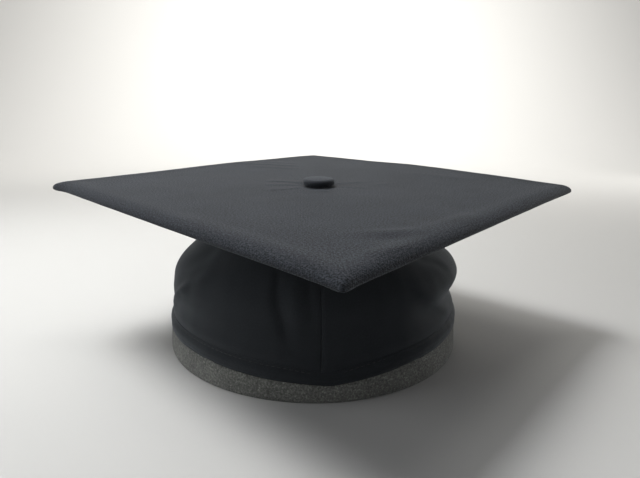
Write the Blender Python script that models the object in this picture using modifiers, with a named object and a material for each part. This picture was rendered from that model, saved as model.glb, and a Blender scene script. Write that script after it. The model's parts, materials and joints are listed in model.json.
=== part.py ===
"""Graduation cap: a fabric-covered square board on a soft crown, with a foam headband inside the hem.

Metres, +Z up. The origin is the middle of the plane the headband's lower rim stands on. The board's
corners point along X and Y, and -Y is the front, where the crown is seamed and the hem comes to a
shallow point. The board leans a little towards the front, so its pieces hang from one tilted empty.
"""
import math

import bmesh
import bpy

# ---------------------------------------------------------------- driving dimensions
GAP = 0.0003                      # left between pieces that touch

BOARD_SIDE = 0.240                # over the fabric
BOARD_THICK = 0.0054              # over the fabric, both faces
BOARD_CORNER = 0.0030             # rounding of the corners, seen from above
BOARD_TOP_Z = 0.1013              # top face, at the middle
BOARD_TILT = math.radians(3.63)   # front corner lower than the back one
COVER_T = 0.0006
COVER_MARGIN = 0.022              # width turned under the board
CORE_T = BOARD_THICK - 2 * (COVER_T + GAP)
HOLE_R = 0.0018                   # for the button's pin

BUTTON_X = -0.0015                # the button's axis on the board, a little in front of the middle
BUTTON_Y = -0.0090
BUTTON_R = 0.0101
BUTTON_H = 0.0053                 # above the board
BUTTON_COVER_T = 0.0005
BUTTON_SHELL_T = 0.0007
PIN_R = 0.0013
PIN_HEAD_R = 0.0032
WASHER_R = 0.0075
WASHER_T = 0.0008
RECESS_R = 0.0083                 # pocket in the underside of the core for the washer
RECESS_D = 0.0015

CROWN_X = -0.0038                 # the crown hangs a little to one side of the board's middle
CROWN_T = 0.0009
TIP_R = 0.0543
TIP_T = 0.0008
HEM_T = 0.0014
HEM_H = 0.0096
HEM_R = 0.0947
HEM_Z_FRONT = 0.0097
HEM_Z_SIDE = 0.0155
HEM_POINT = math.radians(45)      # the hem has levelled out this far round from the front

BAND_R = 0.0950                   # widest radius of the headband, at its lower rim
BAND_TOP = 0.0365
BAND_T = 0.0050

ROUND = 72                        # segments round the crown
SEAM_ANGLE = 0.00015 / BAND_R     # half the gap between the crown's two halves

# Outer side of the crown from the board down: height and radius on a level crown.
CROWN_PROFILE = [
    (0.0910, 0.0592), (0.0855, 0.0645), (0.0795, 0.0700), (0.0735, 0.0754), (0.0675, 0.0801),
    (0.0620, 0.0838), (0.0565, 0.0871), (0.0505, 0.0898), (0.0440, 0.0914), (0.0360, 0.0923),
    (0.0300, 0.0927),
]
CROWN_TOP_R = 0.0556
BLEND_Z = 0.050                   # the crown follows the board's tilt above this height

# ---------------------------------------------------------------- clean scene, collections
for ob in list(bpy.data.objects):
    bpy.data.objects.remove(ob)

parts = bpy.data.collections.new("graduation_cap")
cutters = bpy.data.collections.new("cutters")
bpy.context.scene.collection.children.link(parts)
bpy.context.scene.collection.children.link(cutters)


def finish(name, colour, rough, metal=0.0):
    """A plain Principled material of its own for each piece."""
    mat = bpy.data.materials.new(name)
    mat.use_nodes = True
    bsdf = mat.node_tree.nodes["Principled BSDF"]
    bsdf.inputs["Base Color"].default_value = (*colour, 1.0)
    bsdf.inputs["Roughness"].default_value = rough
    bsdf.inputs["Metallic"].default_value = metal
    mat.diffuse_color = (*colour, 1.0)
    return mat


BLACK_CLOTH = (0.030, 0.031, 0.034)
CROWN_CLOTH = (0.016, 0.016, 0.018)
GREY_FOAM = (0.115, 0.115, 0.108)


def empty(name, parent=None, location=(0, 0, 0), rotation=(0, 0, 0)):
    ob = bpy.data.objects.new(name, None)
    ob.empty_display_size = 0.02
    ob.parent = parent
    ob.location = location
    ob.rotation_euler = rotation
    parts.objects.link(ob)
    return ob


def make(name, bm, mat, parent=None, location=(0, 0, 0), rotation=(0, 0, 0), smooth=35.0):
    """Turn a bmesh into a named object; edges flatter than the given angle shade smoothly."""
    mesh = bpy.data.meshes.new(name)
    bm.to_mesh(mesh)
    bm.free()
    for poly in mesh.polygons:
        poly.use_smooth = True
    mesh.set_sharp_from_angle(angle=math.radians(smooth))
    if mat:
        mesh.materials.append(mat)
    ob = bpy.data.objects.new(name, mesh)
    ob.parent = parent
    ob.location = location
    ob.rotation_euler = rotation
    (parts if mat else cutters).objects.link(ob)
    if not mat:
        ob.hide_render = True
        ob.display_type = "WIRE"
    return ob


def thicken(ob, thickness):
    """Give a skin its thickness on the inner side."""
    mod = ob.modifiers.new("thickness", "SOLIDIFY")
    mod.thickness = thickness
    mod.offset = -1.0
    mod.use_even_offset = True
    mod.use_rim = True


def loft(rows, around=True, closed=False):
    """Quads between rows of points. Rows run outward or downward and points run anticlockwise."""
    bm = bmesh.new()
    verts = [[bm.verts.new(p) for p in row] for row in rows]
    if closed:
        verts.append(verts[0])
    n = len(rows[0])
    for a, b in zip(verts, verts[1:]):
        for j in range(n if around else n - 1):
            k = (j + 1) % n
            bm.faces.new((a[j], b[j], b[k], a[k]))
    return bm


def lathe(name, profile, mat, parent, segments=40):
    """Spin a profile of (radius, height), outer side first from top to bottom, round Z."""
    bm = bmesh.new()
    vs = [bm.verts.new((r, 0.0, z)) for r, z in profile]
    for a, b in zip(vs, vs[1:]):
        bm.edges.new((a, b))
    if profile[0][0] > 0 and profile[-1][0] > 0:
        bm.edges.new((vs[-1], vs[0]))
    ob = make(name, bm, mat, parent)
    mod = ob.modifiers.new("turn", "SCREW")
    mod.axis = "Z"
    mod.steps = segments
    mod.render_steps = segments
    mod.use_merge_vertices = True
    mod.merge_threshold = 0.00001
    mod.use_smooth_shade = True
    return ob


# ---------------------------------------------------------------- board
def plate(side, thick, top_z, corner, rim=0.0):
    """A square plate with rounded corners and, if rim is given, rounded rims. Its top is at top_z."""
    bm = bmesh.new()
    bmesh.ops.create_cube(bm, size=1.0)
    bmesh.ops.scale(bm, vec=(side, side, thick), verts=bm.verts)
    bmesh.ops.translate(bm, vec=(0, 0, top_z - thick / 2), verts=bm.verts)
    upright = [e for e in bm.edges if abs(e.verts[0].co.z - e.verts[1].co.z) > thick / 2]
    bmesh.ops.bevel(bm, geom=upright, offset=corner, segments=6, profile=0.5, affect="EDGES")
    if rim:
        rims = [e for e in bm.edges if abs(e.verts[0].co.z - e.verts[1].co.z) < thick / 2]
        bmesh.ops.bevel(bm, geom=rims, offset=rim, segments=4, profile=0.5, affect="EDGES")
    return bm


def cutter(name, bm, z_top, z_bottom, parent, rotation=(0, 0, 0)):
    """A cutting block, one unit tall as built, stretched between two heights."""
    bmesh.ops.scale(bm, vec=(1, 1, z_top - z_bottom), verts=bm.verts)
    bmesh.ops.translate(bm, vec=(0, 0, (z_top + z_bottom) / 2), verts=bm.verts)
    return make(name, bm, None, parent, rotation=rotation)


def round_cutter(name, radius, z_top, z_bottom, parent):
    bm = bmesh.new()
    bmesh.ops.create_cone(bm, cap_ends=True, segments=36, radius1=radius, radius2=radius, depth=1.0)
    return cutter(name, bm, z_top, z_bottom, parent)


def subtract(ob, cut):
    mod = ob.modifiers.new(cut.name, "BOOLEAN")
    mod.operation = "DIFFERENCE"
    mod.solver = "EXACT"
    mod.object = cut


board_plane = empty("board_plane", location=(0, 0, BOARD_TOP_Z), rotation=(BOARD_TILT, 0, 0))
button_axis = empty("button_axis", board_plane, location=(BUTTON_X, BUTTON_Y, 0))
TURN = (0, 0, math.radians(45))
CLEAR = 0.004                     # cutters run this far past what they cut

core_side = BOARD_SIDE - 2 * (COVER_T + GAP)
core_top = -(COVER_T + GAP)
core_bottom = core_top - CORE_T
core = make("board_core", plate(core_side, CORE_T, core_top, BOARD_CORNER - COVER_T - GAP,
                                CORE_T / 2 * 0.97),
            finish("board_core", (0.28, 0.25, 0.20), 0.9), board_plane, rotation=TURN)
pin_hole = round_cutter("pin_hole", HOLE_R, CLEAR, core_bottom - CLEAR, button_axis)
subtract(core, pin_hole)
subtract(core, round_cutter("washer_recess", RECESS_R, core_bottom + RECESS_D,
                            core_bottom - CLEAR, button_axis))

# The top cover is a thin shell all round the core, open below inside the margin it is turned under.
cover = make("board_top_cover", plate(BOARD_SIDE, BOARD_THICK, 0.0, BOARD_CORNER,
                                      BOARD_THICK / 2 * 0.98),
             finish("board_top_cover", BLACK_CLOTH, 0.85), board_plane, rotation=TURN)
thicken(cover, COVER_T)
subtract(cover, pin_hole)
open_side = BOARD_SIDE - 2 * COVER_MARGIN
bm = bmesh.new()
bmesh.ops.create_cube(bm, size=1.0)
bmesh.ops.scale(bm, vec=(open_side, open_side, 1.0), verts=bm.verts)
subtract(cover, cutter("margin_opening", bm, core_bottom, -BOARD_THICK - CLEAR, board_plane,
                       rotation=TURN))

make("board_under_cover", plate(open_side - 2 * GAP, COVER_T, -BOARD_THICK + COVER_T, 0.0010),
     finish("board_under_cover", BLACK_CLOTH, 0.9), board_plane, rotation=TURN)

# ---------------------------------------------------------------- button, turning on its pin


def dome(radius, base, top, lip, arc=9):
    """Right half of a covered button: flattened dome, bulging side, and the lip turned in below."""
    belly = base + (top - base) * 0.42
    pts = []
    for i in range(arc + 1):
        a = math.pi / 2 * i / arc
        pts.append((radius * math.sin(a) ** 0.85, belly + (top - belly) * math.cos(a) ** 0.9))
    for i in range(1, 5):
        a = math.pi / 2 * i / 4
        pts.append((radius - (radius * 0.13) * (1 - math.cos(a)),
                    belly - (belly - base) * math.sin(a)))
    pts.append((lip, base))
    return pts


def shell_profile(radius, base, top, lip, thickness):
    """Closed profile of an even shell: the outside run down, then the inside run back up."""
    outer = dome(radius, base, top, lip)
    inner = dome(radius - thickness, base + thickness, top - thickness, lip)
    return outer + inner[::-1]


lathe("button_cover", shell_profile(BUTTON_R, GAP, BUTTON_H, 0.0070, BUTTON_COVER_T),
      finish("button_cover", BLACK_CLOTH, 0.85), button_axis)
inset = BUTTON_COVER_T + GAP
lathe("button_shell", shell_profile(BUTTON_R - inset, GAP + inset, BUTTON_H - inset, 0.0076,
                                    BUTTON_SHELL_T),
      finish("button_shell", (0.62, 0.62, 0.62), 0.35, 1.0), button_axis)
back_z = GAP + inset + BUTTON_SHELL_T + GAP
lathe("button_back", [(0.0070, back_z + 0.0006), (0.0070, back_z), (PIN_R + GAP, back_z),
                      (PIN_R + GAP, back_z + 0.0006)],
      finish("button_back", (0.03, 0.03, 0.03), 0.5), button_axis)
head_z = back_z + 0.0006 + GAP
pin_end = core_bottom + 0.0001
lathe("button_pin", [(0.0, head_z + 0.0006), (PIN_HEAD_R - 0.0002, head_z + 0.0006),
                     (PIN_HEAD_R, head_z + 0.0004), (PIN_HEAD_R, head_z), (PIN_R, head_z),
                     (PIN_R, pin_end + 0.0003), (PIN_R - 0.0003, pin_end), (0.0, pin_end)],
      finish("button_pin", (0.62, 0.62, 0.62), 0.3, 1.0), button_axis, segments=28)
washer_top = core_bottom + RECESS_D - GAP
lathe("button_washer", [(WASHER_R - 0.0002, washer_top), (WASHER_R, washer_top - 0.0002),
                        (WASHER_R, washer_top - WASHER_T), (PIN_R + GAP, washer_top - WASHER_T),
                        (PIN_R + GAP, washer_top)],
      finish("button_washer", (0.62, 0.62, 0.62), 0.3, 1.0), button_axis, segments=36)

# ---------------------------------------------------------------- crown
tip_z = -(BOARD_THICK + GAP)
lathe("crown_tip", [(0.0, tip_z), (TIP_R - 0.0002, tip_z), (TIP_R, tip_z - 0.0002),
                    (TIP_R, tip_z - TIP_T), (0.0, tip_z - TIP_T)],
      finish("crown_tip", CROWN_CLOTH, 0.9), board_plane, segments=60).location.x = CROWN_X


def hem_z(turn):
    """Height of the hem's lower edge; turn is 0 at the front and goes round either way."""
    off = abs((turn + math.pi) % (2 * math.pi) - math.pi)
    return HEM_Z_FRONT + (HEM_Z_SIDE - HEM_Z_FRONT) * math.sin(
        math.pi / 2 * min(off / HEM_POINT, 1.0))


def at(turn, radius, z):
    """A point round the crown's own axis; turn 0 is the front and it runs anticlockwise."""
    return (radius * math.sin(turn), -radius * math.cos(turn), z)


def under_board(y):
    """Height of the plane just under the board, where the crown is sewn on."""
    return BOARD_TOP_Z + math.tan(BOARD_TILT) * y - (BOARD_THICK + GAP) / math.cos(BOARD_TILT)


def crown_half(side):
    """Outer skin of one half, from the board down to behind the hem."""
    start, stop = SEAM_ANGLE, math.pi - SEAM_ANGLE
    if side < 0:
        start, stop = math.pi + SEAM_ANGLE, 2 * math.pi - SEAM_ANGLE
    turns = [start + (stop - start) * j / (ROUND // 2) for j in range(ROUND // 2 + 1)]
    top = []
    for t in turns:
        p = at(t, CROWN_TOP_R, 0.0)
        top.append((p[0], p[1], under_board(p[1])))
    rows = [top]
    for z, r in CROWN_PROFILE:
        lean = max((z - BLEND_Z) / (under_board(0.0) - BLEND_Z), 0.0) ** 2
        row = []
        for t in turns:
            x, y, _ = at(t, r, z)
            row.append((x, y, z + lean * (under_board(y) - under_board(0.0))))
        rows.append(row)
    for up in (HEM_H + 0.0010, 0.0016):
        rows.append([at(t, HEM_R - HEM_T - GAP, hem_z(t) + up) for t in turns])
    return loft(rows, around=False)


for nm, side in (("crown_right", 1), ("crown_left", -1)):
    half = make(nm, crown_half(side), finish(nm, CROWN_CLOTH, 0.9), location=(CROWN_X, 0, 0),
                smooth=50)
    thicken(half, CROWN_T)


def ring(profile):
    """A closed band round the crown; each profile point is (radius, height, share of the hem)."""
    turns = [2 * math.pi * j / ROUND for j in range(ROUND)]
    rows = [[at(t, r, z + share * hem_z(t)) for t in turns] for r, z, share in profile]
    return loft(rows, closed=True)


e = 0.0004
make("hem_band", ring([
    (HEM_R - HEM_T / 2, HEM_H, 1), (HEM_R - e, HEM_H - 0.0003, 1), (HEM_R, HEM_H - 0.0012, 1),
    (HEM_R, 0.0010, 1), (HEM_R - e, 0.0002, 1), (HEM_R - HEM_T / 2, 0.0, 1),
    (HEM_R - HEM_T + e, 0.0002, 1), (HEM_R - HEM_T, 0.0010, 1), (HEM_R - HEM_T, HEM_H - 0.0008, 1)]),
    finish("hem_band", CROWN_CLOTH, 0.9), location=(CROWN_X, 0, 0), smooth=60)

slot_r = HEM_R - HEM_T - CROWN_T - 2 * GAP - 0.0001
make("foam_headband", ring([
    (BAND_R - 0.0070, BAND_TOP, 0), (BAND_R - 0.0053, BAND_TOP - 0.0005, 0),
    (BAND_R - 0.0046, BAND_TOP - 0.0018, 0),
    (slot_r, 0.0100, 1), (slot_r, 0.0012, 1), (BAND_R - 0.0020, -0.0005, 1),
    (BAND_R - 0.0007, -0.0014, 1), (BAND_R - 0.0001, 0.0040, 0), (BAND_R, 0.0014, 0),
    (BAND_R - 0.0002, 0.0005, 0), (BAND_R - 0.0008, 0.0, 0), (BAND_R - BAND_T + 0.0008, 0.0, 0),
    (BAND_R - BAND_T, 0.0008, 0), (BAND_R - BAND_T - 0.0004, 0.0100, 0),
    (BAND_R - BAND_T - 0.0040, BAND_TOP - 0.0008, 0)]),
    finish("foam_headband", GREY_FOAM, 0.95), location=(CROWN_X, 0, 0), smooth=60)
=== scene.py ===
"""Looks of the graduation cap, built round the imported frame.

Metres, +Z up, -Y to the wearer's front. Board pieces are made flat in the board's own frame, with
its corners on the axes and its top at z = 0, and BOARD lays them in place. Crown pieces are made
round the crown's own axis, from a turn (0 at the front, anticlockwise seen from above) and a
height. A profile's or a fold's numbers are in mm where its comment says so.
"""

import json
import math

import bpy
import numpy as np
from mathutils import Matrix, Vector, noise


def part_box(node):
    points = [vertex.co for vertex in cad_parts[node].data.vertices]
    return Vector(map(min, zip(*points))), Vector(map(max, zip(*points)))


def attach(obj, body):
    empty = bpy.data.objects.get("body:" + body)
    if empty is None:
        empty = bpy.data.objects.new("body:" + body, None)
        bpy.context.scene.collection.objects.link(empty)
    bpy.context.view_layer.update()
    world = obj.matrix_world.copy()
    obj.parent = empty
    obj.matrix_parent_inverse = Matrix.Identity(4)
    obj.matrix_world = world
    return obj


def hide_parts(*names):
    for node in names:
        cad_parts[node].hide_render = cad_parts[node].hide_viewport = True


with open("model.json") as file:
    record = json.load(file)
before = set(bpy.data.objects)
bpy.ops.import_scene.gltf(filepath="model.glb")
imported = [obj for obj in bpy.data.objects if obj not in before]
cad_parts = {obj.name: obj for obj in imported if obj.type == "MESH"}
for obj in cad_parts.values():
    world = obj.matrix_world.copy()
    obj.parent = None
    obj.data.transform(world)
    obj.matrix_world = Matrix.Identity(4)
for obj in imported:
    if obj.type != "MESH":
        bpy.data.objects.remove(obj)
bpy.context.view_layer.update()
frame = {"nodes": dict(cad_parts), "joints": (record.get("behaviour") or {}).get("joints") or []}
MM = 0.001
TAU = 2 * math.pi

# ---------------------------------------------------------------- places, read from the frame
pin = frame["joints"][0]
BOARD_UP = Vector(pin["axis"]).normalized()
BOARD_X = Vector((1, 0, 0))
BOARD_AXES = Matrix((BOARD_X, BOARD_UP.cross(BOARD_X), BOARD_UP)).transposed()
THICK = 5.4 * MM                  # thickness of the board over its cloth
cover_low, cover_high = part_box("board_top_cover")
BOARD_MID = (cover_low + cover_high) / 2 + BOARD_UP * THICK / 2
BOARD = Matrix.Translation(BOARD_MID) @ BOARD_AXES.to_4x4()
pin_place = BOARD.inverted() @ Vector(pin["pos_m"])
BUTTON_X, BUTTON_Y = pin_place.x, pin_place.y

band_low, band_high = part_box("foam_headband")
CROWN_X = (band_low.x + band_high.x) / 2
BAND_R = (band_high.x - band_low.x) / 2
BAND_TOP = band_high.z
hem_low, hem_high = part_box("hem_band")
HEM_R = (hem_high.x - hem_low.x) / 2
tip_low, tip_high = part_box("crown_tip")
TIP_R = (tip_high.x - tip_low.x) / 2
button_low, button_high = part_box("button_cover")
BUTTON_R = (button_high.x - button_low.x) / 2

# ---------------------------------------------------------------- sizes
CORNER = 1.1 * MM                 # rounding of the cloth at the board's corners, seen from above
CARD_CORNER = 3.0 * MM            # the same of the CAD board, and of the card inside
UNDER_CORNER = 2.5 * MM           # the same of the cloth under the board
HALF = (cover_high.x - CARD_CORNER) / math.sqrt(2) + CARD_CORNER
SHOULDER = 5.5 * MM               # width over which the top rounds down to the edge
EDGE_R = 1.4 * MM                 # rounding of the board's lower edge
MARGIN = 22 * MM                  # cloth turned under the board
MARGIN_GAP = 0.05 * MM            # between the margin and the cloth inside it
BOARD_CLOTH_T = 0.35 * MM
CARD_GAP = 0.9 * MM               # from the outside of the cloth to the card inside
BUTTON_H = 5.3 * MM

CROWN_CLOTH_T = 0.6 * MM
THIN_CLOTH_T = 0.4 * MM           # cloth drawn tight, folded double or pressed flat
SEAM_TURN = math.radians(0.8)     # the front seam lies a little to the right
FOLD_R = 92                       # mm: the radius on which the crown's folds are laid out
HEM_T = 1.4 * MM
HEM_SET = 0.45 * MM               # room left outside the hem for its puff
BAND_T = 5.0 * MM
BAND_ROUND = 0.9 * MM             # rounding of the headband's lower rim


def fade(x, a, b):
    """0 up to a, 1 from b on, smooth between."""
    t = np.clip((np.asarray(x, dtype=float) - a) / (b - a), 0, 1)
    return t * t * (3 - 2 * t)


def ripple(points, size, seed):
    """Smooth noise of about +-1 at each point, with lumps of the given size."""
    offset = Vector((seed * 7.31, seed * 3.77, seed * 1.93))
    flat = np.asarray(points, dtype=float).reshape(-1, 3) / size
    values = [noise.noise(Vector(p) + offset) * 1.6 for p in flat]
    return np.array(values).reshape(np.asarray(points).shape[:-1])


def fold(x, y, line, height, above, below, ends=0.25):
    """A soft ridge (or, if height is negative, a valley) along a line of points.

    above and below are its widths to the left and to the right of the line's direction; it tapers
    over the given share of its length at both ends.
    """
    line = np.asarray(line, dtype=float)
    steps = np.linalg.norm(np.diff(line, axis=0), axis=1)
    total, run = steps.sum(), np.concatenate([[0], np.cumsum(steps)])
    best = np.full(np.shape(x), 1e9)
    along, side = np.zeros(np.shape(x)), np.ones(np.shape(x))
    for i, length in enumerate(steps):
        (ax, ay), (bx, by) = line[i], line[i + 1]
        dx, dy = (bx - ax) / length, (by - ay) / length
        t = np.clip((x - ax) * dx + (y - ay) * dy, 0, length)
        ox, oy = x - ax - dx * t, y - ay - dy * t
        far = np.hypot(ox, oy)
        near = far < best
        best = np.where(near, far, best)
        along = np.where(near, (run[i] + t) / total, along)
        side = np.where(near, dx * oy - dy * ox, side)
    width = np.where(side > 0, above, below)
    taper = fade(along, 0, ends) * fade(1 - along, 0, ends)
    return height * np.exp(-(best / width) ** 2) * (0.15 + 0.85 * taper)


# ---------------------------------------------------------------- meshes
def piece(name, verts, faces, material, uv=None):
    """A smooth mesh object; uv has one pair for each corner of each face."""
    mesh = bpy.data.meshes.new(name)
    mesh.from_pydata([tuple(v) for v in verts], [], faces)
    if uv is not None:
        layer = mesh.uv_layers.new(name="cloth")
        layer.data.foreach_set("uv", np.asarray(uv, dtype=np.float32).ravel())
    mesh.materials.append(material)
    mesh.shade_smooth()
    ob = bpy.data.objects.new(name, mesh)
    bpy.context.scene.collection.objects.link(ob)
    return ob


def grid_faces(rows, cols, around=False, closed=False):
    """Quads of a grid whose rows run outward or downward and whose columns run anticlockwise."""
    faces = []
    for i in range(rows if closed else rows - 1):
        below = (i + 1) % rows
        for j in range(cols if around else cols - 1):
            k = (j + 1) % cols
            faces.append((i * cols + j, below * cols + j, below * cols + k, i * cols + k))
    return faces


def grid_uv(uv):
    """Cloth coordinates for grid_faces; a grid that runs all round has one more column of them."""
    rows, cols = uv.shape[0] - 1, uv.shape[1] - 1
    corners = np.empty((rows, cols, 4, 2))
    corners[:, :, 0] = uv[:-1, :-1]
    corners[:, :, 1] = uv[1:, :-1]
    corners[:, :, 2] = uv[1:, 1:]
    corners[:, :, 3] = uv[:-1, 1:]
    return corners.reshape(-1, 2)


def ring_piece(name, grid, uv, material, filled=False):
    """A piece from rings of points, [ring][point]; filled closes the first ring with one face."""
    rows, cols = grid.shape[:2]
    faces, corners = grid_faces(rows, cols, around=True), grid_uv(uv)
    if filled:
        faces.append(tuple(range(cols)))
        corners = np.concatenate([corners, uv[0, :-1]])
    return piece(name, grid.reshape(-1, 3), faces, material, corners)


def thicken(ob, thickness, inward=True, even=True):
    """Gives a surface its cloth's thickness; even offsets make spikes where folds are sharp."""
    mod = ob.modifiers.new("thickness", "SOLIDIFY")
    mod.thickness = thickness
    mod.offset = -1.0 if inward else 1.0
    mod.use_even_offset = even
    mod.use_rim = True


# ---------------------------------------------------------------- materials
def new_material(name, roughness, metallic=0.0):
    mat = bpy.data.materials.new(name)
    mat.use_nodes = True
    bsdf = mat.node_tree.nodes["Principled BSDF"]
    bsdf.inputs["Roughness"].default_value = roughness
    bsdf.inputs["Metallic"].default_value = metallic
    return mat, mat.node_tree, bsdf


def math_node(tree, operation, a, b=None):
    made = tree.nodes.new("ShaderNodeMath")
    made.operation = operation
    for i, value in enumerate((a, b)):
        if value is None:
            continue
        if isinstance(value, (int, float)):
            made.inputs[i].default_value = value
        else:
            tree.links.new(value, made.inputs[i])
    return made.outputs[0]


def ramp(tree, factor, stops):
    made = tree.nodes.new("ShaderNodeValToRGB")
    elements = made.color_ramp.elements
    while len(elements) < len(stops):
        elements.new(0.5)
    for element, (place, colour) in zip(elements, stops):
        element.position = place
        element.color = (*colour, 1.0)
    tree.links.new(factor, made.inputs["Fac"])
    return made.outputs["Color"]


def scaled(colour, k):
    return tuple(c * k for c in colour)


def noise_at(tree, coords, scale, detail=2.0, rough=0.5):
    made = tree.nodes.new("ShaderNodeTexNoise")
    made.inputs["Scale"].default_value = scale
    made.inputs["Detail"].default_value = detail
    made.inputs["Roughness"].default_value = rough
    tree.links.new(coords, made.inputs["Vector"])
    return made.outputs["Fac"]


def cloth_material(name, colour, thread=0.55 * MM, grain=0.28, sheen=0.25, bump=0.35):
    """Plain weave on the map called cloth, in metres: threads, slubs, soft mottling and sheen."""
    mat, tree, bsdf = new_material(name, 0.82)
    uv = tree.nodes.new("ShaderNodeUVMap")
    uv.uv_map = "cloth"
    split = tree.nodes.new("ShaderNodeSeparateXYZ")
    tree.links.new(uv.outputs["UV"], split.inputs[0])
    turns = TAU / (2 * thread)
    across = math_node(tree, "SINE", math_node(tree, "MULTIPLY", split.outputs["X"], turns))
    along = math_node(tree, "SINE", math_node(tree, "MULTIPLY", split.outputs["Y"], turns))
    weave = math_node(tree, "MULTIPLY", across, along)

    slub = noise_at(tree, uv.outputs["UV"], 1 / (1.5 * thread), 3.0, 0.65)
    mottle = noise_at(tree, uv.outputs["UV"], 1 / (30 * MM), 3.0, 0.55)
    tone = math_node(tree, "ADD", math_node(tree, "MULTIPLY", slub, 0.90),
                     math_node(tree, "MULTIPLY", mottle, 0.10))
    tone = math_node(tree, "ADD", tone, math_node(tree, "MULTIPLY", weave, 0.03))
    tree.links.new(ramp(tree, tone, [(0.36, scaled(colour, 1 - grain)), (0.50, colour),
                                     (0.64, scaled(colour, 1 + 1.6 * grain))]),
                   bsdf.inputs["Base Color"])
    fuzz = ramp(tree, slub, [(0.38, (sheen * (1 - grain),) * 3),
                             (0.62, (sheen * (1 + grain),) * 3)])
    tree.links.new(fuzz, bsdf.inputs["Sheen Weight"])
    rough = ramp(tree, slub, [(0.3, (0.74,) * 3), (0.7, (0.90,) * 3)])
    tree.links.new(rough, bsdf.inputs["Roughness"])

    height = math_node(tree, "ADD", math_node(tree, "MULTIPLY", weave, 0.5),
                       math_node(tree, "MULTIPLY", slub, 1.2))
    bumps = tree.nodes.new("ShaderNodeBump")
    bumps.inputs["Strength"].default_value = bump
    bumps.inputs["Distance"].default_value = 0.25 * MM
    tree.links.new(height, bumps.inputs["Height"])
    tree.links.new(bumps.outputs["Normal"], bsdf.inputs["Normal"])
    bsdf.inputs["Sheen Roughness"].default_value = 0.45
    bsdf.inputs["Sheen Tint"].default_value = (0.86, 0.93, 1.0, 1)
    bsdf.inputs["Specular IOR Level"].default_value = 0.15
    return mat


def foam_material(name, colour):
    """Speckled grey foam: light and dark grains, open cells and faint larger patches."""
    mat, tree, bsdf = new_material(name, 0.95)
    where = tree.nodes.new("ShaderNodeTexCoord").outputs["Object"]
    grains = noise_at(tree, where, 1 / (1.1 * MM), 4.0, 0.75)
    patches = noise_at(tree, where, 1 / (22 * MM), 2.0, 0.5)
    cells = tree.nodes.new("ShaderNodeTexVoronoi")
    cells.inputs["Scale"].default_value = 1 / (1.3 * MM)
    tree.links.new(where, cells.inputs["Vector"])
    tone = math_node(tree, "ADD", math_node(tree, "MULTIPLY", grains, 0.8),
                     math_node(tree, "MULTIPLY", patches, 0.2))
    tree.links.new(ramp(tree, tone, [(0.34, scaled(colour, 0.40)), (0.46, scaled(colour, 0.80)),
                                     (0.55, scaled(colour, 1.15)), (0.65, scaled(colour, 2.2))]),
                   bsdf.inputs["Base Color"])
    height = math_node(tree, "SUBTRACT", grains, math_node(tree, "MULTIPLY",
                                                           cells.outputs["Distance"], 0.35))
    bumps = tree.nodes.new("ShaderNodeBump")
    bumps.inputs["Strength"].default_value = 0.7
    bumps.inputs["Distance"].default_value = 0.5 * MM
    tree.links.new(height, bumps.inputs["Height"])
    tree.links.new(bumps.outputs["Normal"], bsdf.inputs["Normal"])
    bsdf.inputs["Sheen Weight"].default_value = 0.12
    bsdf.inputs["Specular IOR Level"].default_value = 0.25
    return mat


def grained_material(name, dark, light, size, roughness, metallic=0.0):
    """Card, metal, plastic or thread: two tones of one colour, mottled at the given size."""
    mat, tree, bsdf = new_material(name, roughness, metallic)
    where = tree.nodes.new("ShaderNodeTexCoord").outputs["Object"]
    tone = noise_at(tree, where, 1 / size, 4.0, 0.6)
    tree.links.new(ramp(tree, tone, [(0.35, dark), (0.65, light)]), bsdf.inputs["Base Color"])
    bumps = tree.nodes.new("ShaderNodeBump")
    bumps.inputs["Strength"].default_value = 0.2
    bumps.inputs["Distance"].default_value = 0.1 * MM
    tree.links.new(tone, bumps.inputs["Height"])
    tree.links.new(bumps.outputs["Normal"], bsdf.inputs["Normal"])
    return mat


BOARD_CLOTH = cloth_material("board_cloth", (0.0162, 0.0182, 0.0224), grain=0.80, sheen=0.070)
# Same black cloth as the board and crown, painted about half again lighter: painted light that
# brightens the button's shaded sides.
BUTTON_CLOTH_PAINTED_LIGHTER = cloth_material("button_cloth", (0.0235, 0.0262, 0.0310), thread=0.45 * MM,
                              sheen=0.12)
CROWN_CLOTH = cloth_material("crown_cloth", (0.0158, 0.0180, 0.0207), grain=0.16, sheen=0.20,
                             bump=0.2)
FOAM = foam_material("headband_foam", (0.128, 0.130, 0.119))
THREAD = grained_material("thread", (0.007,) * 3, (0.016,) * 3, 0.6 * MM, 0.6)
CARD = grained_material("card", (0.20, 0.18, 0.14), (0.34, 0.31, 0.25), 6 * MM, 0.9)
STEEL = grained_material("steel", (0.45,) * 3, (0.66,) * 3, 1.5 * MM, 0.35, 1.0)
PLASTIC = grained_material("plastic", (0.02,) * 3, (0.04,) * 3, 2 * MM, 0.5)

# ---------------------------------------------------------------- board
LOOP = 420                        # points round each loop of the board


def square_radius(theta, half, corner):
    """Distance from the middle to a rounded square's outline, for directions from its +X corner."""
    corner = min(corner, half)
    phi = np.abs((theta % (TAU / 4)) - TAU / 8)
    flat = half / np.cos(phi)
    inner = half - corner
    m = inner * (np.cos(phi) + np.sin(phi))
    arc = m + np.sqrt(np.maximum(m * m - 2 * inner ** 2 + corner ** 2, 0))
    return np.where(half * np.tan(phi) <= inner, flat, arc)


def spread_directions():
    """Directions whose points lie evenly along the board's outline, and closer near its corners."""
    fine = np.linspace(0, TAU, 14401)
    r = square_radius(fine, HALF, CORNER)
    step = np.hypot(np.diff(r * np.cos(fine)), np.diff(r * np.sin(fine)))
    middle = (fine[1:] + fine[:-1]) / 2
    from_corner = np.abs((middle + TAU / 8) % (TAU / 4) - TAU / 8) * HALF * math.sqrt(2)
    step = step * (1 + 4.0 * np.exp(-(from_corner / (9 * MM)) ** 2))
    run = np.concatenate([[0], np.cumsum(step)])
    return np.interp(np.linspace(0, run[-1], LOOP, endpoint=False), run, fine)


DIRECTIONS = spread_directions()


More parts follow.
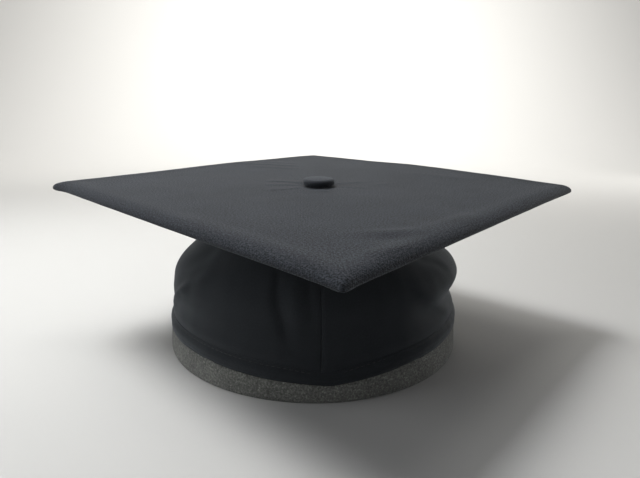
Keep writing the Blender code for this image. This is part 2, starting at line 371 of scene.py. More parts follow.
def loop(half, corner=CORNER):
    """(x, y) round a loop of the board: a circle round the pin, growing into the square."""
    square = fade(half, 4 * MM, 30 * MM)
    off_middle = 1 - fade(half, 12 * MM, 95 * MM)
    r = square * square_radius(DIRECTIONS, half, corner) + (1 - square) * half
    return np.stack([r * np.cos(DIRECTIONS) + off_middle * BUTTON_X,
                     r * np.sin(DIRECTIONS) + off_middle * BUTTON_Y], axis=1)


def warp(x, y):
    """The card isn't quite flat: two corners sag a little, and the far edges arch up."""
    sag = 0.5 * MM * fade(x, 0.130, 0.169) + 0.6 * MM * fade(y, 0.130, 0.168)
    arch = 1.6 * MM * np.exp(-((x - y - 0.02) / 0.085) ** 2) * fade(x + y, 0.040, 0.165)
    arch = arch + 0.8 * MM * np.exp(-((x + y) / 0.090) ** 2) * fade(y - x, 0.060, 0.165)
    return arch - sag


def ears(x, y):
    """(x, y) with the cover's folded left and near corners standing out beyond the card."""
    return (x - 2.7 * MM * fade(-x, 0.157, 0.1685), y - 0.9 * MM * fade(-y, 0.162, 0.1685))


TOP_FOLDS = [                     # line (mm on the board), height, width to its left and right
    # behind the button, towards the far left edge
    ([(-70, 88), (-38, 86), (-8, 77)], 0.55, 9.0, 2.6),
    ([(-54, 101), (-32, 98), (-10, 92)], 0.40, 8.0, 2.6),
    ([(-60, 74), (-36, 72), (-10, 62)], 0.30, 9.0, 3.0),
    # pulled to the button from both sides
    ([(-38, 8), (-24, 5), (-9, -2)], 0.42, 6.0, 2.4),
    ([(-38, -7), (-24, -8), (-9, -9)], 0.34, 5.0, 2.2),
    ([(-36, -26), (-22, -23), (-9, -15)], 0.36, 5.0, 2.4),
    ([(7, -3), (18, 2), (32, 5)], 0.26, 5.0, 2.2),
    ([(7, -12), (18, -14), (32, -17)], 0.22, 4.0, 2.4),
    # slack towards the front right edge
    ([(4, -119), (24, -118), (38, -115), (58, -96), (74, -80)], 0.62, 4.0, 6.0),
    ([(8, -128), (28, -127), (46, -112), (62, -96)], -0.34, 5.0, 5.0),
    ([(8, -147), (20, -142), (33, -136)], 0.40, 3.5, 5.0),
    ([(34, -3), (52, 3)], 0.22, 2.5, 3.5),
    # faint pulls elsewhere
    ([(60, 40), (86, 30), (112, 12)], 0.20, 5.0, 7.0),
    ([(-118, -8), (-90, -22), (-66, -40)], 0.22, 5.0, 7.0),
]


def top_relief(x, y):
    """Relief of the cloth on top: puffed rim, slack folds and a shallow unevenness."""
    inset = (HALF * math.sqrt(2) - np.abs(x) - np.abs(y)) / math.sqrt(2)
    z = 0.35 * MM * np.exp(-((inset - 8 * MM) / (4 * MM)) ** 2)
    for line, height, left, right in TOP_FOLDS:
        z = z + fold(x / MM, y / MM, line, height * MM, left, right)
    points = np.stack([x, y, np.zeros_like(x)], axis=-1)
    z = z + 0.28 * MM * ripple(points, 55 * MM, 1) + 0.07 * MM * ripple(points, 14 * MM, 2)
    from_pin = np.hypot(x - BUTTON_X, y - BUTTON_Y)
    calm = fade(from_pin, BUTTON_R * 0.9, BUTTON_R * 1.6)
    dimple = -0.45 * MM * np.exp(-(from_pin / (BUTTON_R * 1.35)) ** 4)
    return z * calm * fade(inset, 0.5 * MM, SHOULDER) + dimple


def shoulder_corner(half):
    """The corner's rounding, which grows from the board's edge up its shoulder."""
    return CORNER + 0.3 * min(HALF - half, 12 * MM)


def cover_profile():
    """The board's cover from the pin's hole to the end of its margin: (half size, height)."""
    depth = THICK - EDGE_R
    rows = [(h, 0.0) for h in np.linspace(1.9 * MM, HALF - SHOULDER, 92)]
    for a in np.linspace(0, math.pi / 2, 11)[1:]:
        rows.append((HALF - SHOULDER * (1 - math.sin(a)), -depth * (1 - math.cos(a))))
    for a in np.linspace(0, math.pi / 2, 6)[1:]:
        rows.append((HALF - EDGE_R * (1 - math.cos(a)), -depth - EDGE_R * math.sin(a)))
    rows += [(h, -THICK) for h in np.linspace(HALF - EDGE_R - 2 * MM, HALF - MARGIN, 10)]
    return rows


def board_cover():
    """The cloth over the board: top, rounded edge and the margin turned under, with mitres."""
    rows = cover_profile()
    turn_45 = np.array([[1, 1], [-1, 1]]) / math.sqrt(2)
    grid, uv, unfolded = [], [], rows[0][0]
    for i, (half, z) in enumerate(rows):
        if i:
            unfolded += math.dist(rows[i], rows[i - 1])
        under = z < -THICK * 0.95
        corner = UNDER_CORNER if under else shoulder_corner(half)
        x, y = loop(half, corner).T
        height = z + warp(x, y)
        x, y = ears(x, y)
        if z > -THICK / 2:
            height = height + top_relief(x, y)
        if under:
            mitre = np.minimum(np.abs(x), np.abs(y)) / MM
            points = np.stack([x, y, np.full_like(x, z)], axis=-1)
            height = height + 0.30 * MM * np.exp(-(mitre / 0.9) ** 2)
            height = height - 0.10 * MM * np.exp(-((mitre - 3) / 1.8) ** 2)
            height = height + 0.08 * MM * ripple(points, 12 * MM, 3)
        grid.append(np.stack([x, y, height], axis=1))
        flat = loop(unfolded) @ turn_45
        uv.append(np.concatenate([flat, flat[:1]]))
    ob = ring_piece("board_cover_cloth", np.array(grid), np.array(uv), BOARD_CLOTH)
    thicken(ob, BOARD_CLOTH_T, even=False)
    return ob, 2 * unfolded


def board_card():
    """The stiff card, following the same sag, with the pin's hole and the washer's recess."""
    top, bottom = -CARD_GAP, -THICK + CARD_GAP
    half, rim = HALF - CARD_GAP, SHOULDER - 0.4 * MM
    hole, recess, depth = 1.8 * MM, 8.3 * MM, 1.5 * MM
    rows = [(hole, top)] + [(h, top) for h in np.linspace(12 * MM, half - rim - 0.5 * MM, 16)]
    for a in np.linspace(0, math.pi / 2, 9)[1:]:
        rows.append((half - rim * (1 - math.sin(a)),
                     top + (bottom + 0.6 * MM - top) * (1 - math.cos(a))))
    rows.append((half - 0.5 * MM, bottom + 0.1 * MM))
    rows += [(h, bottom) for h in np.linspace(half - 1.5 * MM, 14 * MM, 14)]
    rows += [(recess, bottom), (recess, bottom + depth), (hole, bottom + depth)]
    grid = []
    for h, z in rows:
        x, y = loop(h, shoulder_corner(h) + CARD_CORNER - CORNER).T
        grid.append(np.stack([x, y, z + warp(x, y)], axis=1))
    grid = np.array(grid)
    return piece("board_card", grid.reshape(-1, 3), grid_faces(len(rows), LOOP, True, True), CARD)


def under_cover():
    """The cloth under the board, lying inside the turned margin."""
    half = HALF - MARGIN - MARGIN_GAP
    grid, uv = [], []
    for h in np.linspace(1.0 * MM, half, 44):
        x, y = loop(h, UNDER_CORNER).T
        points = np.stack([x, y, np.zeros_like(x)], axis=-1)
        slack = fade(half - h, 0, 14 * MM)
        z = -THICK + BOARD_CLOTH_T + slack * 0.10 * MM * ripple(points, 26 * MM, 4) + warp(x, y)
        grid.append(np.stack([x, y, z], axis=1)[::-1])
        flat = grid[-1][:, :2] + 0.4
        uv.append(np.concatenate([flat, flat[:1]]))
    ob = ring_piece("board_under_cloth", np.array(grid), np.array(uv), BOARD_CLOTH, filled=True)
    thicken(ob, BOARD_CLOTH_T)
    return ob, 2 * half


cover, cover_side = board_cover()
card = board_card()
under, under_side = under_cover()


# ---------------------------------------------------------------- button
def button_cloth():
    """Cloth drawn over the button and gathered under its lip."""
    cols, hub, foot = 144, 0.15 * MM, 0.35 * MM
    rim, lip = 2.1 * MM, 1.7 * MM     # how far the roundings above and below the belly reach in
    profile = []                      # (radius, height)
    top_r, belly = BUTTON_R - rim, foot + 2.3 * MM
    for r in np.linspace(hub, top_r, 12):
        profile.append((r, BUTTON_H - 0.55 * MM * (r / top_r) ** 2.4))
    rim_top = profile[-1][1]
    for i in range(1, 9):
        a = math.pi / 2 * i / 8
        profile.append((top_r + rim * math.sin(a), belly + (rim_top - belly) * math.cos(a)))
    for i in range(1, 7):
        a = math.pi / 2 * i / 6
        profile.append((BUTTON_R - lip * (1 - math.cos(a)), belly - (belly - foot) * math.sin(a)))
    for r in np.linspace(BUTTON_R - 2.2 * MM, 7.2 * MM, 3):
        profile.append((r, foot))
    turns = np.linspace(0, TAU, cols, endpoint=False)
    run = np.concatenate([[0], np.cumsum([math.dist(a, b) for a, b in zip(profile, profile[1:])])])
    grid, uv = [], []
    ring = np.stack([np.cos(turns), np.sin(turns)], axis=1)
    for (r, z), length in zip(profile, run):
        gather = fade(belly - z, -0.6 * MM, 2.0 * MM) * 0.10 * MM
        gather = gather * np.sin(17 * turns + 1.3 * np.sin(3 * turns))
        points = np.column_stack([ring * r, np.full(cols, z)])
        rr = r + gather + 0.10 * MM * ripple(points, 9 * MM, 5) * fade(r, 0, BUTTON_R)
        zz = z + 0.10 * MM * ripple(points, 7 * MM, 6)
        grid.append(np.column_stack([ring * rr[:, None], zz]))
        flat = ring * (length + hub)
        uv.append(np.concatenate([flat, flat[:1]]))
    ob = ring_piece("button_cloth", np.array(grid), np.array(uv), BUTTON_CLOTH_PAINTED_LIGHTER, filled=True)
    thicken(ob, THIN_CLOTH_T)
    return ob, math.pi * (run[-1] + hub) ** 2, 2 * run[-1]


button, button_area, button_width = button_cloth()

# ---------------------------------------------------------------- crown
COLS, ROWS = 400, 60              # even number of columns: the seams fall on columns 0 and COLS / 2
SEAM_GAP = 0.04 * MM              # how far each half stands back from its seams

# Outer side of the crown, level and round: height and radius in mm, from the hem up.
SIDE_LEFT = [(8, 93.3), (18, 92.9), (24, 92.5), (29, 91.8), (34, 91.5), (42, 91.6), (48, 90.6),
             (53.5, 87.6), (58, 83.8), (62, 79.3), (66.5, 74.6), (71, 70.8), (77, 67.4),
             (84, 62.8), (95.6, 55.6)]
SIDE_RIGHT = [(8, 93.4), (20, 93.2), (27, 92.4), (32, 90.8), (35.5, 89.6), (38.5, 89.2), (42, 90.3),
              (46, 92.4), (51.5, 93.6), (56, 91.2), (61, 84.8), (64, 80.4), (67.5, 75.8),
              (73, 71.0), (82, 64.0), (95.6, 55.6)]
FRONT = [(8, 93.4), (20, 93.0), (30, 92.6), (40, 91.6), (50, 90.0), (56, 87.6), (62, 84.0),
         (68, 79.7), (74, 75.0), (80, 69.7), (87, 62.8), (95.6, 55.6)]
BACK = [(8, 93.4), (22, 93.1), (32, 92.8), (42, 92.6), (52, 91.4), (59, 88.2), (65, 83.2),
        (71, 77.2), (78, 70.4), (86, 63.4), (95.6, 55.6)]


def through(points, x):
    """A smooth curve through the points, at each x."""
    xs, ys = np.array(points, dtype=float).T
    slopes = np.gradient(ys, xs)
    i = np.clip(np.searchsorted(xs, x) - 1, 0, len(xs) - 2)
    gap = xs[i + 1] - xs[i]
    t = np.clip((x - xs[i]) / gap, 0, 1)
    return ((1 + 2 * t) * (1 - t) ** 2 * ys[i] + t * (1 - t) ** 2 * gap * slopes[i]
            + t * t * (3 - 2 * t) * ys[i + 1] - t * t * (1 - t) * gap * slopes[i + 1])


def signed(turn):
    """Turn in degrees from the front, -180 to 180, positive to the right."""
    return (np.degrees(turn) + 180) % 360 - 180


def hem_z(turn):
    """Height of the hem's lower edge: a shallow point at the front, and higher on the right."""
    a = signed(turn) - 4
    left, right = np.clip(-a / 52, 0, 1), np.clip(a / 48, 0, 1)
    height = 9.3 + 5.4 * (1 - (1 - left) ** 1.25) + 7.2 * (1 - (1 - right) ** 1.5)
    height = height + 1.4 * fade(a, 42, 64)
    behind = fade(np.abs(a), 86, 165)
    return (height * (1 - behind) + 12.5 * behind) * MM


def stitch_z(turn):
    """Height of the stitch line, which comes closer to the edge at the front point."""
    return hem_z(turn) + 8.6 * MM - 2.1 * MM * np.exp(-((signed(turn) - 2) / 8) ** 2)


def under_board(y):
    """Height just under the board, where the crown is sewn on."""
    drop = THICK + 0.3 * MM
    slope = -BOARD_UP.y / BOARD_UP.z
    return BOARD_MID.z + slope * y - drop / BOARD_UP.z


def base_radius(turn, z):
    """The crown's radius by turn and height, before its folds."""
    a = signed(turn)
    left = fade(-a, 16, 60) * (1 - fade(-a, 100, 150))
    right = fade(a, 26, 62) * (1 - fade(a, 100, 150))
    back = fade(np.abs(a), 100, 150)
    front = 1 - left - right - back
    z = z / MM
    return MM * (left * through(SIDE_LEFT, z) + right * through(SIDE_RIGHT, z)
                 + front * through(FRONT, z) + back * through(BACK, z))


CROWN_FOLDS = [                   # line (degrees, mm high), height, width to its left and right
    # front left: an upright valley, the ridge beside it, and the hollow by the seam
    ([(-15, 70), (-14.5, 58), (-13.2, 49), (-11.3, 40), (-9.2, 30)], -1.5, 4.6, 3.0),
    ([(-8.2, 68), (-7.5, 57), (-6.8, 48), (-6.6, 38)], 0.8, 3.6, 3.6),
    ([(-3.2, 66), (-2.9, 54), (-2.2, 42)], -0.7, 2.8, 3.0),
    # left: a narrow ridge that climbs from the side to the front, and the hollow above it
    ([(-72, 28), (-67.5, 34), (-63, 40), (-57.5, 46), (-50, 51)], 1.7, 1.8, 3.2),
    ([(-68, 32), (-60, 41), (-53, 48), (-46, 54), (-38, 62)], 0.8, 4.0, 8.0),
    ([(-82, 44), (-70, 50), (-61, 57), (-54, 64), (-46, 71)], -0.7, 6.0, 5.0),
    # right: the shoulder of the bulge, the shadow above it, and the slanting edge below
    ([(36, 78), (48, 72), (60, 65)], 0.5, 5.0, 4.0),
    ([(32, 75), (43, 68), (52, 61.5), (61, 55.5)], -0.75, 2.6, 3.0),
    ([(29, 60), (35, 55), (41, 49), (46, 43.5), (51, 38), (57, 32), (66, 27)], 1.2, 7.0, 3.2),
    ([(33, 47), (40, 39), (47, 31), (54, 25)], -0.3, 3.6, 5.0),
    # back
    ([(140, 74), (150, 54), (166, 34)], 1.8, 5.0, 6.0),
    ([(152, 76), (160, 58), (172, 42)], -1.4, 5.0, 5.0),
    ([(-160, 70), (-150, 52), (-128, 38)], 1.7, 5.0, 7.0),
    ([(-146, 74), (-134, 60), (-112, 50)], -1.5, 5.0, 6.0),
    ([(96, 70), (112, 52), (136, 40)], -1.2, 5.0, 5.0),
    ([(-104, 66), (-96, 46), (-100, 30)], 1.0, 5.0, 5.0),
]


def crown_relief(turn, z):
    """Folds and bulges of the crown, outward, by turn and height."""
    around = TAU * FOLD_R / 360   # mm along the crown for a degree
    arc, up = signed(turn) * around, z / MM
    relief = np.zeros(np.broadcast(arc, up).shape)
    for line, height, left, right in CROWN_FOLDS:
        line = [(a * around, h) for a, h in line]
        relief = relief + fold(arc + 0 * up, up + 0 * arc, line, height * MM, left, right)
    return relief


def crown_turns():
    """Turns of the crown's columns, closer together near the two seams."""
    even = np.arange(COLS) * TAU / COLS
    return SEAM_TURN + even - 0.2 * np.sin(2 * even)


def crown_surface():
    """Points of the crown's outer side before simulation, [row][column], top row first."""
    turns = crown_turns()
    share = np.linspace(0, 1, ROWS)[:, None]
    low = stitch_z(turns) - 1.6 * MM
    level_top = under_board(0.0)
    level = level_top + (low - level_top) * share ** 0.95
    radius = base_radius(turns + 0 * level, level)
    free = fade(share, 0.0, 0.12) * fade(level - stitch_z(turns), 0, 9 * MM)
    radius = radius + free * crown_relief(turns + 0 * level, level)
    over_stitches = (level - stitch_z(turns)) / MM
    radius = radius + 0.35 * MM * np.exp(-((over_stitches - 4.5) / 3.2) ** 2)
    lean = np.clip((level - 50 * MM) / (level_top - 50 * MM), 0, 1) ** 2
    z = level + lean * (under_board(-radius * np.cos(turns)) - level_top)
    return np.stack([radius * np.sin(turns), -radius * np.cos(turns), z], axis=-1), turns


def vertex_normals(grid):
    """Unit normals of a grid that closes along its columns, pointing outward."""
    down = np.gradient(grid, axis=0)
    round_it = (np.roll(grid, -1, axis=1) - np.roll(grid, 1, axis=1)) / 2
    normal = np.cross(down, round_it)
    return normal / np.maximum(np.linalg.norm(normal, axis=-1, keepdims=True), 1e-12)


def relax(grid, times):
    """Evens out a grid's movement between fixed top and bottom rows."""
    for _ in range(times):
        side = (np.roll(grid, -1, axis=1) + np.roll(grid, 1, axis=1)) / 2
        inner = (grid[:-2] + grid[2:]) / 2
        grid = grid.copy()
        grid[1:-1] = 0.5 * grid[1:-1] + 0.25 * side[1:-1] + 0.25 * inner
    return grid


DRAPE_LIMIT = 0.6 * MM            # furthest the simulation may move a point


def drape(grid, frames=16, slack=0.006):
    """The grid as slightly slack cloth, pinned at the board and the hem, under its own weight."""
    ob = piece("crown_drape", grid.reshape(-1, 3), grid_faces(ROWS, COLS, around=True), CROWN_CLOTH)
    group = ob.vertex_groups.new(name="held")
    rows = np.arange(ROWS)
    hold = np.maximum(1 - rows / 3.0, 1 - (ROWS - 1 - rows) / 5.0)
    for i in rows:
        group.add(list(range(i * COLS, (i + 1) * COLS)), float(max(hold[i], 0.04)), "REPLACE")
    mod = ob.modifiers.new("cloth", "CLOTH")
    cloth = mod.settings
    cloth.quality = 6
    cloth.mass = 0.12
    cloth.tension_stiffness = 20
    cloth.compression_stiffness = 20
    cloth.shear_stiffness = 6
    cloth.bending_stiffness = 0.6
    cloth.vertex_group_mass = "held"
    cloth.shrink_min = -slack
    cloth.pin_stiffness = 1.0
    mod.collision_settings.use_collision = False
    scene = bpy.context.scene
    mod.point_cache.frame_start, mod.point_cache.frame_end = 1, frames
    for f in range(1, frames + 1):
        scene.frame_set(f)
    done = ob.evaluated_get(bpy.context.evaluated_depsgraph_get())
    moved = np.empty(len(done.data.vertices) * 3)
    done.data.vertices.foreach_get("co", moved)
    bpy.data.objects.remove(ob)
    scene.frame_set(1)
    return moved.reshape(grid.shape)


def crown_grid():
    """The crown's outer side: shaped, draped, kept off the headband, and drawn in at its seams.

    The shape is that of the worn-in crown, so the simulation's even sinking is taken out again.
    """
    grid, turns = crown_surface()
    moved = drape(grid) - grid
    normal = vertex_normals(grid)
    sink = (moved * normal).sum(-1).mean(axis=1)[:, None, None]
    moved = moved - normal * sink
    length = np.linalg.norm(moved, axis=-1, keepdims=True)
    moved = moved * np.minimum(1.0, DRAPE_LIMIT / np.maximum(length, 1e-9))
    inward = np.minimum((moved * normal).sum(-1), 0.0)
    backed = fade(BAND_TOP + 4 * MM - grid[..., 2], 0, 5 * MM)
    moved = moved - normal * (inward * backed)[..., None]
    grid = grid + relax(moved, 12)
    normal = vertex_normals(grid)
    sewn = np.zeros(COLS)
    for seam in (SEAM_TURN, SEAM_TURN + math.pi):
        away = signed(turns - seam) * math.radians(FOLD_R)      # mm from the seam
        sewn = sewn - 0.28 * np.exp(-(away / 0.9) ** 2) + 0.12 * np.exp(-((away - 2.4) / 1.6) ** 2)
    free = fade(np.linspace(0, 1, ROWS), 0.0, 0.08)[:, None]
    return grid + normal * (sewn * MM * free)[..., None], turns


crown, turns_of_crown = crown_grid()
crown_normals = vertex_normals(crown)


def crown_cloth_uv(grid):
    """Cloth coordinates of the crown: along the hem, and down from the board."""
    cols = grid.shape[1]
    down = np.concatenate([np.zeros((1, cols)), np.cumsum(
        np.linalg.norm(np.diff(grid, axis=0), axis=-1), axis=0)])
    low = np.linalg.norm(np.diff(grid[-1], axis=0), axis=-1)
    around = np.concatenate([[0], np.cumsum(low)])
    return np.stack([np.broadcast_to(around, down.shape), down], axis=-1)


def crown_half(name, first, last):
    """One half of the crown, from one seam's column to the other's."""
    picked = [j % COLS for j in range(first, last + 1)]
    grid = crown[:, picked].copy()
    for edge, inner in ((0, 1), (-1, -2)):
        side = grid[:, inner] - grid[:, edge]
        side /= np.linalg.norm(side, axis=-1, keepdims=True)
        grid[:, edge] += side * SEAM_GAP
    uv = crown_cloth_uv(grid)
    ob = piece(name, grid.reshape(-1, 3), grid_faces(ROWS, len(picked)), CROWN_CLOTH, grid_uv(uv))
    thicken(ob, CROWN_CLOTH_T, even=False)
    return ob, uv


crown_right, right_uv = crown_half("crown_right_cloth", 0, COLS // 2)
crown_left, _ = crown_half("crown_left_cloth", COLS // 2, COLS)


def seam_allowance(name, column):
    """The turned-in edges behind a seam, pressed open to both sides."""
    reach = 9
    picked = [(column + k) % COLS for k in range(-reach, reach + 1)]
    steps = np.abs(np.arange(-reach, reach + 1))
    lift = (0.9 * fade(steps, reach - 3, reach) + 0.5 * (steps == 0)) * MM
    depth = CROWN_CLOTH_T + 0.5 * MM + lift
    rows = slice(3, ROWS - 6)
    grid = crown[rows][:, picked] - crown_normals[rows][:, picked] * depth[None, :, None]
    ob = piece(name, grid.reshape(-1, 3), grid_faces(grid.shape[0], len(picked)), CROWN_CLOTH,
               grid_uv(crown_cloth_uv(grid)))
    thicken(ob, THIN_CLOTH_T, even=False)
    return ob


seam_front = seam_allowance("seam_allowance_front", 0)
seam_back = seam_allowance("seam_allowance_back", COLS // 2)


def tip_cloth():
    """The round of cloth under the board that closes the crown's top."""
    cols, rows = 180, 30
    turns = np.linspace(0, TAU, cols, endpoint=False)[::-1]
    grid, uv = [], []
    for r in np.linspace(0.5 * MM, TIP_R, rows):
        x, y = r * np.cos(turns), r * np.sin(turns)
        points = np.stack([x, y, np.zeros_like(x)], axis=-1)
        slack = fade(TIP_R - r, 0, 10 * MM)
        z = -THICK - 0.35 * MM - slack * (0.35 * MM + 0.30 * MM * ripple(points, 22 * MM, 8))
        grid.append(np.column_stack([x, y, z]))
        flat = np.column_stack([x, y])
        uv.append(np.concatenate([flat, flat[:1]]))
    ob = ring_piece("tip_cloth", np.array(grid), np.array(uv), CROWN_CLOTH, filled=True)
    thicken(ob, THIN_CLOTH_T, inward=False)
    return ob


def tip_allowance():
    """The gathered edges where the crown is sewn to its tip, folded inward."""
    cols, rows = 360, 9
    inner, outer = 45.5 * MM, TIP_R - 1.4 * MM
    turns = np.linspace(0, TAU, cols, endpoint=False)[::-1]
    grid, uv = [], []
    for i in range(rows):
        s = i / (rows - 1)
        wave = np.sin(46 * turns + 2 * np.sin(5 * turns)) + 0.5 * np.sin(71 * turns)
        r = inner + s * (outer - inner) + (1 - s) * 0.5 * MM * np.sin(23 * turns)
        z = -THICK - 1.6 * MM - (1 - s) * (0.8 * MM + 0.35 * MM * wave) - 0.12 * MM * wave
        grid.append(np.column_stack([r * np.cos(turns), r * np.sin(turns), z]))
        flat = np.column_stack([turns * TIP_R, np.full(cols, s * 8 * MM)])
        uv.append(np.concatenate([flat, flat[-1:]]))
    ob = ring_piece("tip_allowance", np.array(grid), np.array(uv), CROWN_CLOTH)
    thicken(ob, THIN_CLOTH_T, inward=False)
    return ob


tip = tip_cloth()
tip_edge = tip_allowance()


# ---------------------------------------------------------------- hem
def at(turns, radius, z):
    """Points round the crown's axis."""
    return np.stack([radius * np.sin(turns), -radius * np.cos(turns), z + 0 * turns], axis=-1)


def crown_radius(column, z):
    """Outer radius of the finished crown in one column, at a height."""
    points = crown[::-1, column]
    return float(np.interp(z, points[:, 2], np.hypot(points[:, 0], points[:, 1])))


# the crown's radius at the stitch line, column by column
LIP = np.array([crown_radius(j, float(stitch_z(turns_of_crown[j]))) for j in range(COLS)])


def hem_radius(turns, share):
    """Outer radius of the hem by its share of height; at the top it closes on the crown."""
    closing = fade(share, 0.45, 1.0)
    lip = np.interp(turns, turns_of_crown, LIP, period=TAU) + 0.25 * MM
    return (1 - closing) * (HEM_R - HEM_SET) + closing * lip


def hem_cloth():
    """The hem, folded double: its upper edge is sewn down on the crown along a groove."""
    cols, cloth = 440, THIN_CLOTH_T
    turns = np.linspace(0, TAU, cols, endpoint=False)
    edge, tall = hem_z(turns), stitch_z(turns) - hem_z(turns)
    outer, inner = HEM_R, HEM_R - HEM_T + cloth
    bend = (outer - inner) / 2
    sides = [(None, None, share) for share in (1.0, 0.98, *np.linspace(0.95, 0.22, 16))]
    for a in np.linspace(0, math.pi, 8)[1:]:
        sides.append((outer - bend + bend * math.cos(a), bend * (1 - math.sin(a)) + 0.1 * MM, None))
    sides += [(inner, z * MM, None) for z in (1.4, 2.6, 3.8)]
    grid, uv = [], []
    for r, z, share in sides:
        height = edge + (z if share is None else share * tall)
        points = at(turns, np.full(cols, outer), height)
        puff = 0.20 * MM * ripple(points, 18 * MM, 9) + 0.08 * MM * ripple(points, 5 * MM, 10)
        if share is None:
            rr = r + (1.0 if r > outer - bend else 0.3) * (puff - HEM_SET)
        else:
            roll = 0.25 * MM * math.sin(math.pi * share ** 1.2)
            rr = hem_radius(turns, share) + (puff + roll) * (1 - 0.7 * float(fade(share, 0.7, 1.0)))
        grid.append(at(turns, rr, height + 0.12 * MM * ripple(points, 30 * MM, 11)))
    grid = np.array(grid)
    down = np.concatenate([[0], np.cumsum(np.linalg.norm(np.diff(grid, axis=0), axis=-1).mean(1))])
    around = np.append(turns, TAU) * HEM_R
    uv = np.stack([np.broadcast_to(around, (len(down), cols + 1)),
                   np.broadcast_to(down[:, None], (len(down), cols + 1))], axis=-1)
    ob = ring_piece("hem_cloth", grid, uv, CROWN_CLOTH)
    thicken(ob, cloth, even=False)
    return ob, down[-1]


def hem_stitches():
    """Machine stitches just under the hem's upper edge: short threads that dip in at their ends."""
    stitch, gap, thread_r = 2.5 * MM, 0.6 * MM, 0.16 * MM
    count = round(TAU * HEM_R / (stitch + gap))
    rings, sides = 7, 6
    verts, faces = [], []
    for n in range(count):
        for i in range(rings):
            s = i / (rings - 1)
            turn = TAU * n / count + s * stitch / HEM_R
            arch = math.sin(math.pi * s) ** 0.5
            fine = thread_r * (0.5 + 0.5 * arch)
            radius = float(hem_radius(turn, 0.85)) - 0.10 * MM + 0.16 * MM * arch
            height = float(stitch_z(turn)) - 1.3 * MM
            for k in range(sides):
                b = TAU * k / sides
                r = radius + fine * math.cos(b)
                verts.append((r * math.sin(turn), -r * math.cos(turn), height + fine * math.sin(b)))
        base = n * rings * sides
        for i in range(rings - 1):
            for k in range(sides):
                m = (k + 1) % sides
                faces.append((base + i * sides + k, base + (i + 1) * sides + k,
                              base + (i + 1) * sides + m, base + i * sides + m))
        faces.append(tuple(base + k for k in range(sides)))
        faces.append(tuple(base + (rings - 1) * sides + k for k in reversed(range(sides))))
    return piece("hem_stitches", verts, faces, THREAD)


hem, hem_width = hem_cloth()
stitches = hem_stitches()


# ---------------------------------------------------------------- foam headband
def foam_headband():
    """A foam ring, squeezed where the cloth covers it and swelling out below the hem."""
    turns = turns_of_crown
    edge = hem_z(turns)
    slot = HEM_R - HEM_T - 1.7 * MM
    zero = np.zeros(COLS)
    covered = [(slot - 3.2 * MM, BAND_TOP + zero), (slot - 1.6 * MM, BAND_TOP - 0.2 * MM + zero),
               (slot - 0.6 * MM, BAND_TOP - 1.2 * MM + zero), (slot, BAND_TOP - 3 * MM + zero)]
    for s in np.linspace(0.1, 1.0, 8):
        covered.append((slot, BAND_TOP - 3 * MM + (edge + 5 * MM - BAND_TOP + 3 * MM) * s))
    rows = [(slot, edge + 2.4 * MM), (slot + 0.5 * MM, edge + 1.4 * MM),
            (BAND_R - 2.5 * MM, edge + 0.7 * MM), (BAND_R - 1.9 * MM, edge + 0.1 * MM),
            (BAND_R - 1.4 * MM, edge - 0.6 * MM), (BAND_R - 1.05 * MM, edge - 1.4 * MM)]
    for s in np.linspace(0.12, 1.0, 7):
        rows.append((BAND_R - (0.9 - 0.8 * s ** 0.7) * MM,
                     (edge - 1.8 * MM) * (1 - s) + 1.6 * MM * s))
    for a in np.linspace(0, math.pi / 2, 6)[1:]:
        rows.append((BAND_R - 0.1 * MM - BAND_ROUND * (1 - math.cos(a)),
                     BAND_ROUND * (1 - math.sin(a)) + zero))
    inner = BAND_R - BAND_T
    rows += [(BAND_R - 2.5 * MM, zero), (inner + BAND_ROUND, zero)]
    for a in np.linspace(0, math.pi / 2, 5)[1:]:
        rows.append((inner + BAND_ROUND * (1 - math.sin(a)),
                     BAND_ROUND * (1 - math.cos(a)) + zero))
    for s in np.linspace(0.1, 1.0, 14):
        rows.append((inner - 4.0 * MM * s, BAND_ROUND + (BAND_TOP - 1.9 * MM) * s + zero))
    grid = []
    for r, z in covered:
        room = np.array([crown_radius(j, z[j]) for j in range(COLS)]) - CROWN_CLOTH_T - 0.35 * MM
        grid.append(at(turns, np.minimum(r, room - (slot - r)), z))
    for r, z in rows:
        points = at(turns, np.full(COLS, r), z)
        lump = 0.10 * MM * ripple(points, 7 * MM, 12) + 0.12 * MM * ripple(points, 40 * MM, 13)
        grid.append(at(turns, r + (lump - 0.12 * MM) * fade(z, 0.0, 1.0 * MM), z))
    return piece("foam_band", np.array(grid).reshape(-1, 3),
                 grid_faces(len(grid), COLS, True, True), FOAM)


foam = foam_headband()

# ---------------------------------------------------------------- places, bodies and CAD nodes
for ob in (cover, card, under):
    ob.matrix_world = BOARD
for ob in (tip, tip_edge):
    ob.matrix_world = BOARD @ Matrix.Translation((CROWN_X, 0, 0))
button.matrix_world = BOARD @ Matrix.Translation((BUTTON_X, BUTTON_Y, 0))
for ob in (crown_right, crown_left, seam_front, seam_back, hem, stitches, foam):
    ob.location.x = CROWN_X

on_cap = {
    cover: (["board_top_cover"], "board_cloth"), card: (["board_core"], "board_core"),
    under: (["board_under_cover"], "board_cloth"), tip: (["crown_tip"], "crown_cloth"),
    tip_edge: ([], "crown_cloth"), crown_right: (["crown_right"], "crown_cloth"),
    crown_left: (["crown_left"], "crown_cloth"), seam_front: ([], "crown_cloth"),
    seam_back: ([], "crown_cloth"), hem: (["hem_band"], "crown_cloth"),
    stitches: ([], "crown_cloth"), foam: (["foam_headband"], "headband_foam"),
}
for ob, (nodes, slot) in on_cap.items():
    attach(ob, "cap")
    if nodes:
        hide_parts(*nodes)
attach(button, "button")
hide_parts("button_cover")

for name, material in (("button_shell", STEEL), ("button_pin", STEEL), ("button_washer", STEEL),
                       ("button_back", PLASTIC)):
    for slot in frame["nodes"][name].material_slots:
        slot.material = material


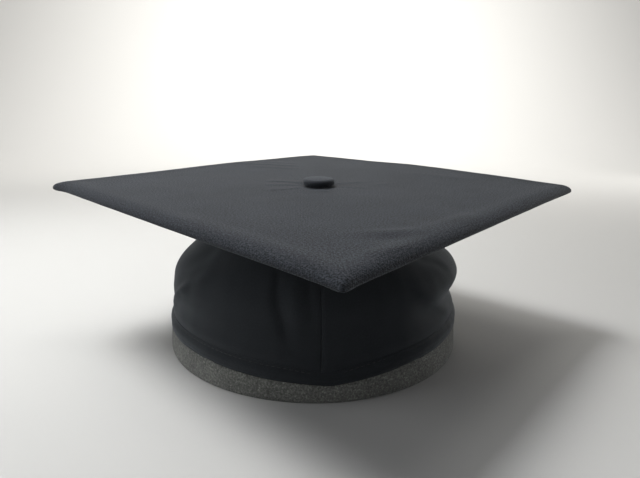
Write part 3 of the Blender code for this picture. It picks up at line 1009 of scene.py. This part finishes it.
for half, columns, allowance in ((crown_right, slice(0, COLS // 2 + 1), seam_front),
                                 (crown_left, slice(COLS // 2, COLS), seam_back)):
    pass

# ---------------------------------------------------------------- stage, light and camera
def stage():
    """A pale floor that sweeps up into a pale wall."""
    reach, back, bend, wall = 3.5, 1.3, 0.9, 3.0
    line = [(-2.5, 0.0), (back, 0.0)]
    line += [(back + bend * math.sin(a), bend * (1 - math.cos(a)))
             for a in np.linspace(0, math.pi / 2, 14)[1:]]
    line.append((back + bend, wall))
    verts = [(x, y, z) for x in (-reach, reach) for y, z in line]
    n = len(line)
    faces = [(i, n + i, n + i + 1, i + 1) for i in range(n - 1)]
    mat, _, bsdf = new_material("pale_stage", 0.9)
    bsdf.inputs["Base Color"].default_value = (0.46, 0.455, 0.44, 1)
    bsdf.inputs["Specular IOR Level"].default_value = 0.1
    floor = piece("stage_floor", verts, faces, mat)


def area_light(name, place, target, size, power, colour, spread=180):
    data = bpy.data.lights.new(name, "AREA")
    data.spread = math.radians(spread)
    data.shape = "DISK"
    data.size = size
    data.energy = power
    data.color = colour
    ob = bpy.data.objects.new(name, data)
    ob.location = place
    ob.rotation_euler = (Vector(target) - Vector(place)).to_track_quat("-Z", "Y").to_euler()
    bpy.context.scene.collection.objects.link(ob)


def camera():
    """Just in front of the cap and a little above the board, looking down at it."""
    data = bpy.data.cameras.new("camera")
    data.sensor_width = 36.0
    data.lens = 26.22
    data.clip_start = 0.01
    ob = bpy.data.objects.new("camera", data)
    yaw, pitch, roll = math.radians(2.52), math.radians(-13.02), math.radians(0.59)
    aim = Matrix.Rotation(-yaw, 4, "Z") @ Matrix.Rotation(math.pi / 2 + pitch, 4, "X")
    place = Matrix.Translation((-0.0133, -0.3058, 0.1345))
    ob.matrix_world = place @ aim @ Matrix.Rotation(roll, 4, "Z")
    bpy.context.scene.collection.objects.link(ob)
    bpy.context.scene.camera = ob


stage()
camera()
MIDDLE = (0.0, 0.0, 0.07)
area_light("key", (-1.25, -0.12, 0.50), MIDDLE, size=1.0, power=5.4, colour=(0.94, 0.975, 1.0))
area_light("top", (-0.8, 0.25, 1.6), (-0.26, 0.0, 0.1), size=0.9, power=3.2,
           colour=(0.98, 0.99, 1.0), spread=38)
area_light("side", (1.5, 0.75, 0.10), MIDDLE, size=0.6, power=7.6, colour=(1.0, 0.98, 0.95))
area_light("fill", (0.1, -1.5, 0.25), MIDDLE, size=0.6, power=1.55, colour=(0.97, 0.985, 1.0))
area_light("wall", (0.1, 0.9, 2.6), (0.1, 2.4, 0.9), size=1.8, power=98,
           colour=(1.0, 0.99, 0.97), spread=124)
world = bpy.data.worlds.new("soft")
world.use_nodes = True
world.node_tree.nodes["Background"].inputs["Color"].default_value = (0.94, 0.95, 1.0, 1)
world.node_tree.nodes["Background"].inputs["Strength"].default_value = 0.17
bpy.context.scene.world = world
bpy.context.scene.view_settings.view_transform = "Standard"
